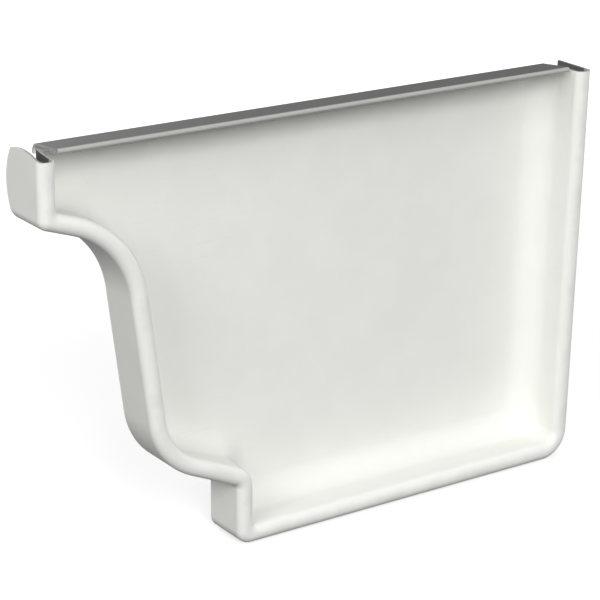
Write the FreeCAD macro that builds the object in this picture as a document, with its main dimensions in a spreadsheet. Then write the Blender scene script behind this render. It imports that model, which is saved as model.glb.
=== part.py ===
import FreeCAD, Part
import math
import os
import Sketcher
V = FreeCAD.Vector

# Gutter end cap: one pressed and folded sheet that closes the end of a 5 inch ogee gutter.
# Frame: x = 0 is the outer face of the back wall, the round lip is at -x, z = 0 is the
# underside, the open recess faces -y and the gutter comes in from +y. Sizes in millimetres.
SIZES = [
    ("width", 130.0, "over the lip and the back wall, at the top"),
    ("height", 86.0, "underside to the top of the walls"),
    ("sheet_t", 0.45, "thickness of the sheet"),
    ("rim_w", 3.7, "width of the folded rim, outside to outside"),
    ("round_share", 0.48, "share of the rim width taken by each rounded side"),
    ("groove_share", 0.46, "share of the groove width taken by each rounded side"),
    ("recess_d", 11.4, "front of the rim to the face of the plate"),
    ("wall_d", 11.0, "depth of the outer wall that goes over the gutter"),
    ("lip_h", 12.3, "front face of the lip"),
    ("lip_run", 17.75, "underside of the lip, measured along x"),
    ("lip_drop", 6.1, "fall of the underside of the lip"),
    ("front_run", 6.15, "ogee front, measured along x"),
    ("step_h", 13.0, "height of the step under the ogee"),
    ("foot_run", 18.7, "foot of the ogee, measured along x"),
    ("foot_drop", 8.3, "foot of the ogee, measured along z"),
    ("back_lean", 2.3, "lean of the back wall over its height"),
    ("lip_r", 2.2, "corner under the lip"),
    ("hollow_share", 0.596, "share of the underside of the lip taken by the hollow curve"),
    ("full_share", 0.44, "share of the foot taken by the full curve"),
    ("least_r", 0.6, "least corner of the inner outlines"),
    ("step_in_r", 1.2, "inner corner above the step"),
    ("step_r", 3.0, "corner under the step"),
    ("back_r", 6.5, "corner under the back wall"),
    ("above", 12.0, "spare height of the outlines above the top, cut off later"),
    ("floor_r", 5.5, "rounding between the plate and the walls"),
    ("shelf_y", 2.0, "front edge of the top shelf"),
    ("shelf_bend_r", 1.3, "inside radius of the bend between plate and shelf"),
    ("shelf_lift", 0.8, "rise of the shelf from its bend to its front edge"),
    ("shelf_fall", 1.1, "fall of the shelf over the width, from the lip to the back wall"),
    ("hem_gap", 0.1, "gap inside the folded hem"),
    ("hem_l", 3.0, "length of the hem turned back under the shelf"),
    ("end_gap", 1.2, "gap between each end of the shelf and the wall"),
    ("relief_h", 2.2, "height of the relief cuts at the ends of the shelf"),
    ("tab_front", 0.3, "top of the lip above the other walls, at the front"),
    ("tab_top", 1.6, "top of the lip's outer wall above the other walls, at its highest"),
    ("tab_bulge", 2.0, "how far the lip tab reaches past the outer wall"),
    ("wall_rise", 1.0, "rise of the top of the lip's inner wall towards the back"),
]

doc = FreeCAD.newDocument("end_cap")
sheet = doc.addObject("Spreadsheet::Sheet", "Sizes")
for row, (name, value, note) in enumerate(SIZES, 1):
    sheet.set("A%d" % row, note)
    sheet.set("B%d" % row, str(value))
    sheet.setAlias("B%d" % row, name)
doc.recompute()


def size(name):
    return float(sheet.get(name))


def bind(thing, **cells):
    for prop, cell in cells.items():
        thing.setExpression(prop, cell)


# radius of the curve at a corner that takes this share of the side towards one end
def curve_r(at, end, other, share):
    a = V(end[0] - at[0], end[1] - at[1], 0)
    b = V(other[0] - at[0], other[1] - at[1], 0)
    return share * a.Length * math.tan(a.getAngle(b) / 2)


# outline of the outer wall
def corners():
    w, top = size("width"), size("height") + size("above")
    lip = size("height") - size("lip_h")
    x, z = -w + size("lip_run"), lip - size("lip_drop")
    foot_x, foot_z = x + size("front_run"), size("step_h") + size("foot_drop")
    step_x, step_z = foot_x + size("foot_run"), size("step_h")
    lean = size("back_lean") / size("height")
    hollow_r = curve_r((x, z), (-w, lip), (foot_x, foot_z), size("hollow_share"))
    full_r = curve_r((foot_x, foot_z), (step_x, step_z), (x, z), size("full_share"))
    return [
        ((-w, top), 0),
        ((-w, lip), size("lip_r")),
        ((x, z), hollow_r),
        ((foot_x, foot_z), full_r),
        ((step_x, step_z), size("step_in_r")),
        ((step_x, 0), size("step_r")),
        ((-size("back_lean"), 0), size("back_r")),
        ((lean * size("above"), top), 0),
    ]


def meeting(p, a, q, b):
    k = ((q[0] - p[0]) * b[1] - (q[1] - p[1]) * b[0]) / (a[0] * b[1] - a[1] * b[0])
    return p[0] + a[0] * k, p[1] + a[1] * k


# the same outline moved inwards by d: full corners lose d, hollow corners gain it
def moved_in(pts, d):
    n = len(pts)
    sides = []
    for i in range(n):
        (x0, z0), (x1, z1) = pts[i][0], pts[(i + 1) % n][0]
        far = math.hypot(x1 - x0, z1 - z0)
        ux, uz = (x1 - x0) / far, (z1 - z0) / far
        shift = 0 if i == n - 1 else d
        sides.append(((x0 - uz * shift, z0 + ux * shift), (ux, uz)))
    out = []
    for i in range(n):
        (p, a), (q, b) = sides[i - 1], sides[i]
        r = pts[i][1]
        if r:
            full = a[0] * b[1] - a[1] * b[0] > 0
            r = max(r - d, size("least_r")) if full else r + d
        out.append((meeting(p, a, q, b), r))
    return out


def rounded_corner(before, at, after, r):
    a = V(before[0] - at[0], before[1] - at[1], 0).normalize()
    b = V(after[0] - at[0], after[1] - at[1], 0).normalize()
    half = a.getAngle(b) / 2
    at = V(at[0], at[1], 0)
    middle = (a + b).normalize() * (r / math.sin(half))
    return at + a * (r / math.tan(half)), at + b * (r / math.tan(half)), at + middle


def outline_sketch(name, d):
    sketch = doc.addObject("Sketcher::SketchObject", name)
    sketch.Placement = FreeCAD.Placement(V(0, 0, 0), FreeCAD.Rotation(V(1, 0, 0), 90))
    pts = moved_in(corners(), d)
    n = len(pts)
    ends = []
    for i, (at, r) in enumerate(pts):
        if r:
            ends.append(rounded_corner(pts[i - 1][0], at, pts[(i + 1) % n][0], r))
        else:
            p = V(at[0], at[1], 0)
            ends.append((p, p, None))
    for i in range(n):
        enter, leave, middle = ends[i]
        if middle is not None:
            r = pts[i][1]
            first = math.atan2(enter.y - middle.y, enter.x - middle.x)
            last = math.atan2(leave.y - middle.y, leave.x - middle.x)
            if (last - first) % (2 * math.pi) > math.pi:
                first, last = last, first
            circle = Part.Circle(middle, V(0, 0, 1), r)
            sketch.addGeometry(Part.ArcOfCircle(circle, first, last), False)
        sketch.addGeometry(Part.LineSegment(leave, ends[(i + 1) % n][0]), False)
    return sketch


def prism(name, base, start, length):
    solid = doc.addObject("Part::Extrusion", name)
    solid.Base = base
    solid.Dir = V(0, 1, 0)
    solid.DirMode = "Custom"
    solid.Solid = True
    solid.setExpression("LengthFwd", length)
    solid.setExpression("Placement.Base.y", start)
    return solid


t = size("sheet_t")
outside = outline_sketch("Outside", -1)
profile = outline_sketch("Profile", 0)
in_sheet = outline_sketch("InSheet", t)
in_groove = outline_sketch("InGroove", size("rim_w") / 2)
in_wall = outline_sketch("InWall", size("rim_w") - t)
in_rim = outline_sketch("InRim", size("rim_w"))
doc.recompute()


def cut(name, base, tool):
    result = doc.addObject("Part::Cut", name)
    result.Base = base
    result.Tool = tool
    return result


def join(name, *pieces):
    result = doc.addObject("Part::MultiFuse", name)
    result.Shapes = list(pieces)
    result.Refine = True
    return result


def box(name, **cells):
    solid = doc.addObject("Part::Box", name)
    bind(solid, **{key.replace("_", "."): cell for key, cell in cells.items()})
    return solid


# rounds the edges that lie in the plane y along one outline, but not its spare top edge
def round_edges(name, base, outline, y, radius):
    doc.recompute()
    chosen = []
    for i, edge in enumerate(base.Shape.Edges, 1):
        b = edge.BoundBox
        flat = abs(b.YMin - y) < 1e-4 and abs(b.YMax - y) < 1e-4
        if flat and b.ZMin < size("height"):
            middle = edge.valueAt((edge.FirstParameter + edge.LastParameter) / 2)
            middle.y = 0
            if outline.Shape.distToShape(Part.Vertex(middle))[0] < 1e-3:
                chosen.append((i, radius, radius))
    result = doc.addObject("Part::Fillet", name)
    result.Base = base
    result.Edges = chosen
    return result


share = size("round_share")
back_y = size("recess_d") + t

# folded rim: outer wall, rounded front and inner wall
block = prism("Block", profile, "0", "Sizes.wall_d + Sizes.recess_d")
recess = prism("Recess", in_rim, "-1", "Sizes.recess_d + 1")
recess_round = round_edges("RecessRound", recess, in_rim, size("recess_d"), size("floor_r"))
open_block = cut("OpenBlock", block, recess_round)
rim_out = round_edges("RimOut", open_block, profile, 0, size("rim_w") * share)
rim = round_edges("Rim", rim_out, in_rim, 0, size("rim_w") * share)

# groove for the edge of the gutter, open to the back
groove_in = prism("GrooveIn", in_sheet, "Sizes.sheet_t", "Sizes.wall_d + Sizes.recess_d + 1")
groove_core = prism("GrooveCore", in_wall, "0", "Sizes.wall_d + Sizes.recess_d + 2")
groove_ring = cut("GrooveRing", groove_in, groove_core)
groove_w = size("rim_w") - 2 * t
groove_r = groove_w * size("groove_share")
groove_out = round_edges("GrooveOut", groove_ring, in_sheet, t, groove_r)
groove = round_edges("Groove", groove_out, in_wall, t, groove_r)
grooved = cut("Grooved", rim, groove)

# back face of the plate, rounded like its front
behind = prism("Behind", in_groove, "Sizes.recess_d + Sizes.sheet_t", "Sizes.wall_d + Sizes.recess_d")
pan_block = cut("PanBlock", grooved, behind)
pan = round_edges("Pan", pan_block, in_wall, back_y, size("floor_r") + t)

# tops of the walls cut level, free edge of the outer wall cut off square
level = box(
    "Level",
    Length="Sizes.width + 10 - Sizes.rim_w",
    Width="40",
    Height="Sizes.above + 10",
    Placement_Base_x="Sizes.rim_w - Sizes.width",
    Placement_Base_y="-5",
    Placement_Base_z="Sizes.height",
)
edge_out = prism("EdgeOut", outside, "Sizes.wall_d", "20")
edge_in = prism("EdgeIn", in_groove, "Sizes.wall_d - 1", "22")
edge_ring = cut("EdgeRing", edge_out, edge_in)


def yz_sketch(name, geometry, x_cell):
    sketch = doc.addObject("Sketcher::SketchObject", name)
    turn = FreeCAD.Rotation(V(0, 1, 0), V(0, 0, 1), V(1, 0, 0), "ZXY")
    sketch.Placement = FreeCAD.Placement(V(0, 0, 0), turn)
    for item in geometry:
        sketch.addGeometry(item, False)
    sketch.setExpression("Placement.Base.x", x_cell)
    return sketch


def along_x(name, base, length, fall=0):
    solid = doc.addObject("Part::Extrusion", name)
    solid.Base = base
    solid.Dir = V(size("width"), 0, -fall)
    solid.DirMode = "Custom"
    solid.Solid = True
    solid.setExpression("LengthFwd", length)
    return solid


def line(a, b):
    return Part.LineSegment(V(a[0], a[1], 0), V(b[0], b[1], 0))


def arc(a, b, c):
    return Part.Arc(V(a[0], a[1], 0), V(b[0], b[1], 0), V(c[0], c[1], 0))


# side view of the lip's outer wall: its rounded top and its bulged free edge
def tab_outline():
    top = size("height")
    low = top - size("lip_h")
    free = size("wall_d")
    front = (-2, top + size("tab_front"))
    start = (0.05 * free, top + size("tab_front"))
    crown = (0.62 * free, top + size("tab_top"))
    high = (free, top + 0.6 * size("tab_top"))
    out = (free + size("tab_bulge"), top - 0.55 * size("lip_h"))
    end = (free, low)
    base = (free, -5)
    corner = (-2, -5)
    return [
        line(corner, front),
        line(front, start),
        arc(start, crown, high),
        arc(high, out, end),
        line(end, base),
        line(base, corner),
    ]


# side view of the lip's inner wall, with its top rising to the back
def wall_outline():
    top = size("height") + size("tab_front")
    free = size("wall_d")
    front = (-2, top)
    start = (0.3 * free, top)
    high = (free, top + size("wall_rise"))
    base = (free, -5)
    corner = (-2, -5)
    pts = [corner, front, start, high, base]
    return [line(pts[i], pts[(i + 1) % 5]) for i in range(5)]


tab_shape = yz_sketch("TabShape", tab_outline(), "-Sizes.width - 2")
tab_keep = along_x("TabKeep", tab_shape, "Sizes.rim_w / 2 + 2")
wall_shape = yz_sketch("WallShape", wall_outline(), "Sizes.rim_w / 2 - Sizes.width")
wall_keep = along_x("WallKeep", wall_shape, "Sizes.rim_w")
tab_zone = box(
    "TabZone",
    Length="Sizes.rim_w + 1",
    Width="40",
    Height="Sizes.height + Sizes.above + 10",
    Placement_Base_x="-Sizes.width - 1",
    Placement_Base_y="-1",
    Placement_Base_z="-2",
)
lip_waste = cut("LipWaste", tab_zone, tab_keep)
tab_waste = cut("TabWaste", lip_waste, wall_keep)

# height of the shelf's back edge along the cap
def shelf_top(x):
    return size("height") - size("shelf_fall") * x / size("width")


# part of the plate that gives its metal to the shelf, with a slit at each end
def relief_sketch():
    sketch = doc.addObject("Sketcher::SketchObject", "ReliefShape")
    sketch.Placement = FreeCAD.Placement(V(0, 0, 0), FreeCAD.Rotation(V(1, 0, 0), 90))
    slit = t / 2
    left = size("rim_w") + size("end_gap") - slit - size("width")
    right = slit - size("rim_w") - size("end_gap")
    low_left = (left, shelf_top(left) - size("relief_h"))
    low_right = (right, shelf_top(right) - size("relief_h"))
    high = size("height") + size("above")
    corners = [low_left, low_right, (right, high), (left, high)]
    for i in range(4):
        sketch.addGeometry(line(corners[i], corners[(i + 1) % 4]), False)
    return sketch


relief_shape = relief_sketch()
relief = prism("Relief", relief_shape, "Sizes.recess_d - Sizes.floor_r - 1", "20")
edge_waste = cut("EdgeWaste", edge_ring, tab_zone)
levelled = cut("Levelled", pan, level)
edged = cut("Edged", levelled, edge_waste)
tabbed = cut("Tabbed", edged, tab_waste)
relieved = cut("Relieved", tabbed, relief)


# section of the shelf at its lip end: plate, bend, rising flat and the hem folded back under it
def shelf_outline(x):
    y, bend, gap = size("recess_d"), size("shelf_bend_r"), size("hem_gap")
    fold = t + gap / 2
    rise = math.atan(size("shelf_lift") / (y - bend - size("shelf_y") - fold))
    up = V(math.sin(rise), math.cos(rise), 0)
    out = V(-math.cos(rise), math.sin(rise), 0)
    half = V(math.sin(math.pi / 4 + rise / 2), math.cos(math.pi / 4 + rise / 2), 0)
    top = shelf_top(x)
    centre = V(y - bend, top - (bend + t) * up.y, 0)
    low = top - size("relief_h")
    back = centre + up * (bend + t)
    front = back + out * ((back.x - size("shelf_y") - fold) / -out.x)
    under = front - up * (2 * fold)
    tail = under - out * size("hem_l")
    return [
        line((y + t, low), (y + t, centre.y)),
        arc((y + t, centre.y), centre + half * (bend + t), back),
        line(back, front),
        arc(front, front - up * fold + out * fold, under),
        line(under, tail),
        line(tail, tail + up * t),
        line(tail + up * t, under + up * t),
        arc(under + up * t, front - up * fold + out * (gap / 2), front - up * t),
        line(front - up * t, centre + up * bend),
        arc(centre + up * bend, centre + half * bend, (y, centre.y)),
        line((y, centre.y), (y, low)),
        line((y, low), (y + t, low)),
    ]


shelf_left = size("rim_w") + size("end_gap") - size("width")
shelf_shape = yz_sketch("ShelfShape", shelf_outline(shelf_left), "Sizes.rim_w + Sizes.end_gap - Sizes.width")
shelf_l = "Sizes.width - 2 * Sizes.rim_w - 2 * Sizes.end_gap"
shelf = along_x("Shelf", shelf_shape, shelf_l, size("shelf_fall"))

cap = join("EndCap", relieved, shelf)
cap.Label = "end_cap"
doc.recompute()

bad = []
for item in doc.Objects:
    if "Invalid" in item.State or "Error" in item.State:
        bad.append(item.Name)
    shape = getattr(item, "Shape", None)
    if shape is not None and (shape.isNull() or not shape.isValid()):
        bad.append(item.Name)
if bad or len(cap.Shape.Solids) != 1:
    raise RuntimeError("not sound: %s, solids %d" % (bad, len(cap.Shape.Solids)))
os.makedirs("parts", exist_ok=True)
cap.Shape.exportStep("parts/end_cap.step")
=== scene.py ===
import math
import bpy
from mathutils import Matrix, Vector


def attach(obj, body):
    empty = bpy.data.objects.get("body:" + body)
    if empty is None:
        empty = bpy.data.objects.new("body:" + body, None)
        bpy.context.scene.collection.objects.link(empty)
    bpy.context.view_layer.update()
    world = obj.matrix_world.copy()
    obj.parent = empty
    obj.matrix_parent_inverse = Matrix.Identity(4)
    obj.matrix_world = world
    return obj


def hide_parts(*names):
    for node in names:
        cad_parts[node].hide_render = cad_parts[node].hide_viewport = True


# White painted gutter end cap: one pressed and folded sheet, with the open recess facing the viewer.
# Same frame as the solids, in metres: recess towards -y, lip at -x, underside at z = 0.
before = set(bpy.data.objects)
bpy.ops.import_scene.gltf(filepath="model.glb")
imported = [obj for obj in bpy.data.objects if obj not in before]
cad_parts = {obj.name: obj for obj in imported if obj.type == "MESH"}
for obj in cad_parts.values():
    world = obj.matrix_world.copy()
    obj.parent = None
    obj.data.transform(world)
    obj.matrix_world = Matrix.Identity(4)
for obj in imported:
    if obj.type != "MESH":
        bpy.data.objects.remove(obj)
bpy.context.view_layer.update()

# the sheet
RECESS_DEPTH = 0.0114
SHEET = 0.00045
HEIGHT = 0.086
SAME_SIDE = math.radians(42)
SAME_POINT = 1e-6
SAME_PLANE = 1e-5
ENAMEL_SIDE, BACK_SIDE, CUT_EDGES = range(3)

# painted highlight: the front of the shelf's fold is painted lighter than the back coat, where the
# fold catches the light: full to nothing going back, and nothing to full going up
HIGHLIGHT_FOLD_Y = (0.0022, 0.0027)
HIGHLIGHT_FOLD_Z = (0.084, 0.0845)
# where the enamel is worn at the rim's crest: full to nothing going back
CREST_IN_Y = (0.0, 0.0009)

# the viewpoint of the photograph
CAMERA_AT = Vector((-0.3234, -0.3633, 0.2057))
CAMERA_RIGHT = Vector((0.82522, -0.56477, 0.00699))
CAMERA_UP = Vector((0.18284, 0.27882, 0.94278))
LENS = 143.3
SENSOR = 36

# finishes
ENAMEL = (0.80, 0.805, 0.765, 1)
ENAMEL_CHALK = (0.825, 0.827, 0.792, 1)
ENAMEL_RUBBED = (0.62, 0.62, 0.60, 1)
ENAMEL_ROUGH = 0.40
BACK_COAT = (0.09, 0.092, 0.087, 1)
BACK_COAT_THIN = (0.102, 0.104, 0.098, 1)
BACK_COAT_RUBBED = (0.30, 0.30, 0.29, 1)
BACK_COAT_PAINTED_HIGHLIGHT = (0.42, 0.42, 0.40, 1)
BACK_COAT_ROUGH = 0.56
BARE_EDGE = (0.42, 0.42, 0.41, 1)
BARE_EDGE_BRIGHT = (0.55, 0.55, 0.54, 1)
COAT_RELIEF = 0.00035
EDGE_RELIEF = 0.001
SKIN_SHARE = 0.012
PATCHES_PER_METRE = 95.0
RUBBED_PLACES_PER_METRE = 42.0

# the floor: as seen, as it lights the cap, how much of its white is mirrored,
# and where its white grows to full around the cap
FLOOR = (0.45, 0.45, 0.45, 1)
FLOOR_BOUNCE = (0.1, 0.1, 0.1, 1)
FLOOR_MIRRORED = 0.4
FLOOR_SIZE = 6
WHITE_FROM, WHITE_TO = 0.15, 0.45
WHITE_NEAR = 0.62
BACKDROP_HEIGHT = 4
BACKDROP_BEND = 1.5

# the lamps' distance from the cap's middle, and the strength of the light from all around
MIDDLE = Vector((-0.065, 0.006, 0.043))
LAMP_REACH = 1.3
AROUND = 0.4


def deselect():
    bpy.ops.object.select_all(action="DESELECT")


def make_active(piece):
    deselect()
    piece.select_set(True)
    bpy.context.view_layer.objects.active = piece


# node trees
def add(tree, kind, at, **values):
    node = tree.nodes.new(kind)
    node.location = at
    for name, value in values.items():
        setattr(node, name, value)
    return node


def new_group(name, inputs, outputs):
    group = bpy.data.node_groups.new(name, "ShaderNodeTree")
    for label, kind, value in inputs:
        made = group.interface.new_socket(name=label, in_out="INPUT", socket_type=kind)
        if value is not None:
            made.default_value = value
    for label, kind in outputs:
        group.interface.new_socket(name=label, in_out="OUTPUT", socket_type=kind)
    start = add(group, "NodeGroupInput", (-900, 0))
    end = add(group, "NodeGroupOutput", (900, 0))
    return group, start, end


def math_node(tree, operation, a, b, at):
    node = add(tree, "ShaderNodeMath", at, operation=operation)
    for i, value in enumerate((a, b)):
        if isinstance(value, (int, float)):
            node.inputs[i].default_value = value
        else:
            tree.links.new(value, node.inputs[i])
    return node.outputs[0]


# a value drawn from one range to another, held at both ends
def ranged(tree, value, from_low, from_high, to_low, to_high, at):
    node = add(tree, "ShaderNodeMapRange", at, interpolation_type="SMOOTHSTEP")
    tree.links.new(value, node.inputs["Value"])
    node.inputs["From Min"].default_value = from_low
    node.inputs["From Max"].default_value = from_high
    node.inputs["To Min"].default_value = to_low
    node.inputs["To Max"].default_value = to_high
    return node.outputs["Result"]


def noise(tree, vector, scale, detail, rough, at):
    node = add(tree, "ShaderNodeTexNoise", at)
    node.inputs["Detail"].default_value = detail
    node.inputs["Roughness"].default_value = rough
    tree.links.new(vector, node.inputs["Vector"])
    if isinstance(scale, (int, float)):
        node.inputs["Scale"].default_value = scale
    else:
        tree.links.new(scale, node.inputs["Scale"])
    return node.outputs["Fac"]


# sprayed or rolled coat: fine skin texture, slow waves in the sheet and patches of tone
def coat_group():
    group, start, end = new_group(
        "coat skin",
        [
            ("Place", "NodeSocketVector", None),
            ("Grain per metre", "NodeSocketFloat", 1100.0),
            ("Wave per metre", "NodeSocketFloat", 26.0),
            ("Wave height", "NodeSocketFloat", 1.0),
        ],
        [("Height", "NodeSocketFloat"), ("Tone", "NodeSocketFloat"), ("Gloss", "NodeSocketFloat")],
    )
    place = start.outputs["Place"]
    skin = noise(group, place, start.outputs["Grain per metre"], 2.0, 0.45, (-600, 250))
    wave = noise(group, place, start.outputs["Wave per metre"], 1.0, 0.4, (-600, 0))
    patch = noise(group, place, PATCHES_PER_METRE, 5.0, 0.6, (-600, -250))
    lifted = math_node(group, "MULTIPLY", wave, start.outputs["Wave height"], (-300, 50))
    thin = math_node(group, "MULTIPLY", skin, SKIN_SHARE, (-300, 250))
    height = math_node(group, "ADD", thin, lifted, (-80, 150))
    group.links.new(height, end.inputs["Height"])
    group.links.new(ranged(group, patch, 0.3, 0.72, 0, 1, (-300, -200)), end.inputs["Tone"])
    group.links.new(ranged(group, patch, 0.45, 0.62, 0, 1, (-300, -450)), end.inputs["Gloss"])
    return group


# hairline rub marks, all running one way on a face
def rub_group():
    group, start, end = new_group(
        "rub marks",
        [
            ("Place", "NodeSocketVector", None),
            ("Along", "NodeSocketVector", (60.0, 60.0, 2600.0)),
            ("Amount", "NodeSocketFloat", 0.5),
        ],
        [("Mask", "NodeSocketFloat")],
    )
    stretch = add(group, "ShaderNodeVectorMath", (-650, 100), operation="MULTIPLY")
    group.links.new(start.outputs["Place"], stretch.inputs[0])
    group.links.new(start.outputs["Along"], stretch.inputs[1])
    line = noise(group, stretch.outputs["Vector"], 1.0, 2.0, 0.5, (-450, 100))
    where = noise(group, start.outputs["Place"], RUBBED_PLACES_PER_METRE, 3.0, 0.6, (-450, -150))
    thin = ranged(group, line, 0.66, 0.72, 0, 1, (-200, 100))
    spread = ranged(group, where, 0.5, 0.7, 0, 1, (-200, -150))
    both = math_node(group, "MULTIPLY", thin, spread, (50, 0))
    mask = math_node(group, "MULTIPLY", both, start.outputs["Amount"], (250, 0))
    group.links.new(mask, end.inputs["Mask"])
    return group


def mix_colour(tree, factor, a, b, at):
    node = add(tree, "ShaderNodeMix", at, data_type="RGBA")
    tree.links.new(factor, node.inputs["Factor"])
    for socket, value in ((node.inputs[6], a), (node.inputs[7], b)):
        if isinstance(value, tuple):
            socket.default_value = value
        else:
            tree.links.new(value, socket)
    return node.outputs[2]


def new_finish(name):
    finish = bpy.data.materials.new(name)
    finish.use_nodes = True
    tree = finish.node_tree
    shader = tree.nodes["Principled BSDF"]
    shader.location = (700, 0)
    tree.nodes["Material Output"].location = (1000, 0)
    place = add(tree, "ShaderNodeTexCoord", (-900, 0)).outputs["Object"]
    return finish, tree, shader, place


def use_group(tree, group, at, place, **values):
    node = add(tree, "ShaderNodeGroup", at, node_tree=group)
    tree.links.new(place, node.inputs["Place"])
    for name, value in values.items():
        node.inputs[name.replace("_", " ")].default_value = value
    return node


def bumped(tree, height, distance, at, shader):
    bump = add(tree, "ShaderNodeBump", at)
    bump.inputs["Distance"].default_value = distance
    tree.links.new(height, bump.inputs["Height"])
    tree.links.new(bump.outputs["Normal"], shader.inputs["Normal"])


def enamel_finish(coat, rub):
    finish, tree, shader, place = new_finish("white enamel")
    skin = use_group(tree, coat, (-600, 200), place)
    marks = use_group(tree, rub, (-600, -200), place, Amount=0.25)
    split = add(tree, "ShaderNodeSeparateXYZ", (-600, -450))
    tree.links.new(place, split.inputs[0])
    crest = ranged(tree, split.outputs["Y"], *CREST_IN_Y, 1, 0, (-380, -450))
    worn = math_node(tree, "MULTIPLY", crest, skin.outputs["Gloss"], (-150, -400))
    tone = mix_colour(tree, skin.outputs["Tone"], ENAMEL, ENAMEL_CHALK, (-300, 300))
    worn = math_node(tree, "MULTIPLY", worn, 0.35, (50, -350))
    rubbed = math_node(tree, "MAXIMUM", marks.outputs["Mask"], worn, (200, -300))
    colour = mix_colour(tree, rubbed, tone, ENAMEL_RUBBED, (350, 300))
    tree.links.new(colour, shader.inputs["Base Color"])
    dull = math_node(tree, "MULTIPLY", skin.outputs["Tone"], 0.07, (50, 0))
    rough = math_node(tree, "ADD", dull, ENAMEL_ROUGH, (200, 0))
    scuffed = math_node(tree, "MULTIPLY", rubbed, 0.2, (350, -150))
    tree.links.new(math_node(tree, "ADD", rough, scuffed, (500, -50)), shader.inputs["Roughness"])
    shader.inputs["Specular IOR Level"].default_value = 0.35
    bumped(tree, skin.outputs["Height"], COAT_RELIEF, (450, -250), shader)
    return finish


def back_coat_finish(coat, rub):
    finish, tree, shader, place = new_finish("grey back coat")
    skin = use_group(tree, coat, (-600, 200), place)
    marks = use_group(tree, rub, (-600, -200), place, Along=(30.0, 1500.0, 1500.0), Amount=0.2)
    tone = mix_colour(tree, skin.outputs["Tone"], BACK_COAT, BACK_COAT_THIN, (-300, 300))
    colour = mix_colour(tree, marks.outputs["Mask"], tone, BACK_COAT_RUBBED, (0, 300))
    split = add(tree, "ShaderNodeSeparateXYZ", (-600, -450))
    tree.links.new(place, split.inputs[0])
    front = ranged(tree, split.outputs["Y"], *HIGHLIGHT_FOLD_Y, 1, 0, (-380, -450))
    up = ranged(tree, split.outputs["Z"], *HIGHLIGHT_FOLD_Z, 0, 1, (-380, -650))
    # painted highlight along the front of the shelf's fold
    painted_highlight = math_node(tree, "MULTIPLY", front, up, (-150, -500))
    colour = mix_colour(tree, painted_highlight, colour, BACK_COAT_PAINTED_HIGHLIGHT, (250, 300))
    tree.links.new(colour, shader.inputs["Base Color"])
    dull = math_node(tree, "MULTIPLY", skin.outputs["Gloss"], 0.04, (0, 0))
    rough = math_node(tree, "ADD", dull, BACK_COAT_ROUGH, (200, 0))
    tree.links.new(rough, shader.inputs["Roughness"])
    shader.inputs["Specular IOR Level"].default_value = 0.3
    bumped(tree, skin.outputs["Height"], COAT_RELIEF, (450, -250), shader)
    return finish


def cut_edge_finish(coat):
    finish, tree, shader, place = new_finish("cut edge")
    skin = use_group(tree, coat, (-600, 200), place, Grain_per_metre=2600.0, Wave_height=0.0)
    colour = mix_colour(tree, skin.outputs["Tone"], BARE_EDGE, BARE_EDGE_BRIGHT, (-300, 300))
    tree.links.new(colour, shader.inputs["Base Color"])
    shader.inputs["Metallic"].default_value = 0.6
    rough = ranged(tree, skin.outputs["Tone"], 0, 1, 0.34, 0.5, (0, 0))
    tree.links.new(rough, shader.inputs["Roughness"])
    bumped(tree, skin.outputs["Height"], EDGE_RELIEF, (450, -250), shader)
    return finish


# all faces of the sheet that run on smoothly from one flat face
def select_side(cap, y, towards):
    bpy.ops.object.mode_set(mode="EDIT")
    bpy.ops.mesh.select_all(action="DESELECT")
    bpy.ops.object.mode_set(mode="OBJECT")
    for face in cap.data.polygons:
        flat = abs(face.center.y - y) < SAME_PLANE and face.normal.y * towards > 0.999
        face.select = flat and face.center.z > 0.3 * HEIGHT
    bpy.ops.object.mode_set(mode="EDIT")
    bpy.ops.mesh.faces_select_linked_flat(sharpness=SAME_SIDE)


def assign(cap, index):
    cap.active_material_index = index
    bpy.ops.object.material_slot_assign()
    bpy.ops.object.mode_set(mode="OBJECT")


# the pressed sheet, joined into one skin and given its two sides and its cut edges
def cap_sheet(finishes):
    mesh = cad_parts["end_cap"].data.copy()
    mesh.name = "cap_sheet"
    mesh.materials.clear()
    cap = bpy.data.objects.new("cap_sheet", mesh)
    bpy.context.scene.collection.objects.link(cap)
    make_active(cap)
    for finish in finishes:
        mesh.materials.append(finish)
    bpy.ops.mesh.customdata_custom_splitnormals_clear()
    bpy.ops.object.mode_set(mode="EDIT")
    bpy.ops.mesh.select_mode(type="FACE")
    bpy.ops.mesh.select_all(action="SELECT")
    bpy.ops.mesh.remove_doubles(threshold=SAME_POINT)
    assign(cap, CUT_EDGES)
    select_side(cap, RECESS_DEPTH, -1)
    assign(cap, ENAMEL_SIDE)
    select_side(cap, RECESS_DEPTH + SHEET, 1)
    assign(cap, BACK_SIDE)
    bpy.ops.object.shade_smooth_by_angle(angle=SAME_SIDE)
    weighted = cap.modifiers.new("even shading", "WEIGHTED_NORMAL")
    weighted.keep_sharp = True
    weighted.weight = 100
    bpy.ops.object.modifier_apply(modifier=weighted.name)
    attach(cap, "root")
    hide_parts("end_cap")


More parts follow.
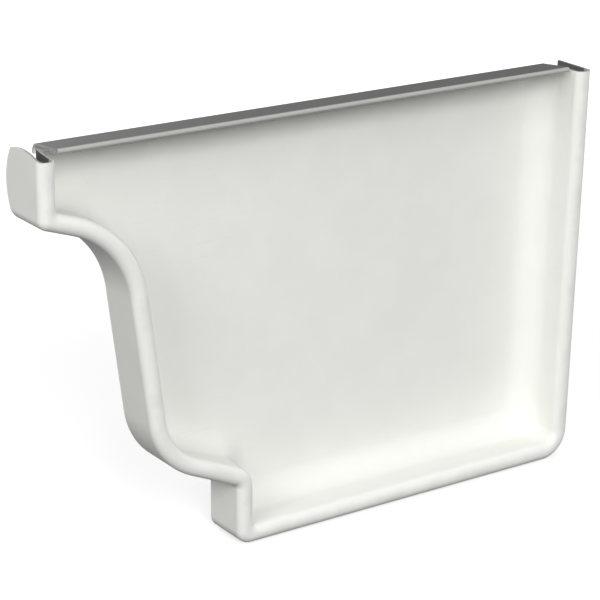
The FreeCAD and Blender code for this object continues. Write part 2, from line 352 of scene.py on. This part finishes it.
# floor that runs up into the backdrop
def floor_and_backdrop():
    deselect()
    bpy.ops.mesh.primitive_plane_add(size=FLOOR_SIZE, location=(0, 0, 0))
    floor = bpy.context.object
    floor.name = "floor"
    bpy.ops.object.mode_set(mode="EDIT")
    bpy.ops.mesh.select_all(action="DESELECT")
    bpy.ops.object.mode_set(mode="OBJECT")
    for edge in floor.data.edges:
        ends = [floor.data.vertices[v].co for v in edge.vertices]
        edge.select = all(co.y > 0.48 * FLOOR_SIZE for co in ends)
    bpy.ops.object.mode_set(mode="EDIT")
    bpy.ops.mesh.select_mode(type="EDGE")
    bpy.ops.mesh.extrude_region_move(TRANSFORM_OT_translate={"value": (0, 0, BACKDROP_HEIGHT)})
    bpy.ops.object.mode_set(mode="OBJECT")
    bend = floor.modifiers.new("bend", "BEVEL")
    bend.width = BACKDROP_BEND
    bend.segments = 24
    bend.limit_method = "ANGLE"
    bpy.ops.object.modifier_apply(modifier=bend.name)
    bpy.ops.object.shade_smooth()
    finish, tree, shader, place = new_finish("pale floor")
    shader.inputs["Roughness"].default_value = 0.9
    shader.inputs["Specular IOR Level"].default_value = 0.1
    shader.inputs["Emission Color"].default_value = (1, 1, 1, 1)
    path = add(tree, "ShaderNodeLightPath", (-300, -300))
    colour = mix_colour(tree, path.outputs["Is Camera Ray"], FLOOR_BOUNCE, FLOOR, (250, 200))
    tree.links.new(colour, shader.inputs["Base Color"])
    mirrored = math_node(tree, "MULTIPLY", path.outputs["Is Glossy Ray"], FLOOR_MIRRORED, (-300, -400))
    through = math_node(tree, "MAXIMUM", mirrored, path.outputs["Is Transmission Ray"], (-150, -400))
    seen = math_node(tree, "MAXIMUM", path.outputs["Is Camera Ray"], through, (0, -300))
    away = add(tree, "ShaderNodeVectorMath", (-600, -500), operation="LENGTH")
    tree.links.new(place, away.inputs[0])
    white = ranged(tree, away.outputs["Value"], WHITE_FROM, WHITE_TO, WHITE_NEAR, 1, (-300, -500))
    lift = math_node(tree, "MULTIPLY", seen, white, (250, -300))
    tree.links.new(lift, shader.inputs["Emission Strength"])
    floor.data.materials.append(finish)


# a soft lamp that faces the cap's middle, turned so many degrees to the left of the front
# and raised so many degrees
def lamp(name, turned, raised, width, height, power):
    turned = math.radians(turned)
    raised = math.radians(raised)
    level = math.cos(raised)
    away = Vector((-math.sin(turned) * level, -math.cos(turned) * level, math.sin(raised)))
    data = bpy.data.lights.new(name, "AREA")
    data.shape = "RECTANGLE"
    data.size = width
    data.size_y = height
    data.energy = power
    light = bpy.data.objects.new(name, data)
    bpy.context.scene.collection.objects.link(light)
    light.location = MIDDLE + LAMP_REACH * away
    light.rotation_mode = "QUATERNION"
    light.rotation_quaternion = (-away).to_track_quat("-Z", "Y")


def lights():
    lamp("left lamp", 64, 29, 0.6, 0.6, 6.3)
    lamp("front lamp", 19, 29, 0.5, 0.5, 10.4)
    lamp("right lamp", -88, 10, 0.6, 0.35, 4.5)
    lamp("back lamp", 180, 14, 0.8, 0.5, 12)
    world = bpy.data.worlds.new("studio")
    bpy.context.scene.world = world
    world.use_nodes = True
    around = world.node_tree.nodes["Background"]
    around.inputs["Color"].default_value = (1, 1, 1, 1)
    around.inputs["Strength"].default_value = AROUND


def camera():
    data = bpy.data.cameras.new("camera")
    data.lens = LENS
    data.sensor_width = SENSOR
    data.clip_start = 0.01
    data.clip_end = 50
    view = bpy.data.objects.new("camera", data)
    bpy.context.scene.collection.objects.link(view)
    back = CAMERA_RIGHT.cross(CAMERA_UP).normalized()
    turn = Matrix((CAMERA_RIGHT, CAMERA_UP, back)).transposed().to_4x4()
    view.matrix_world = Matrix.Translation(CAMERA_AT) @ turn
    bpy.context.scene.camera = view


coat = coat_group()
rub = rub_group()
cap_sheet([enamel_finish(coat, rub), back_coat_finish(coat, rub), cut_edge_finish(coat)])
floor_and_backdrop()
lights()
camera()
bpy.context.scene.view_settings.view_transform = "Standard"
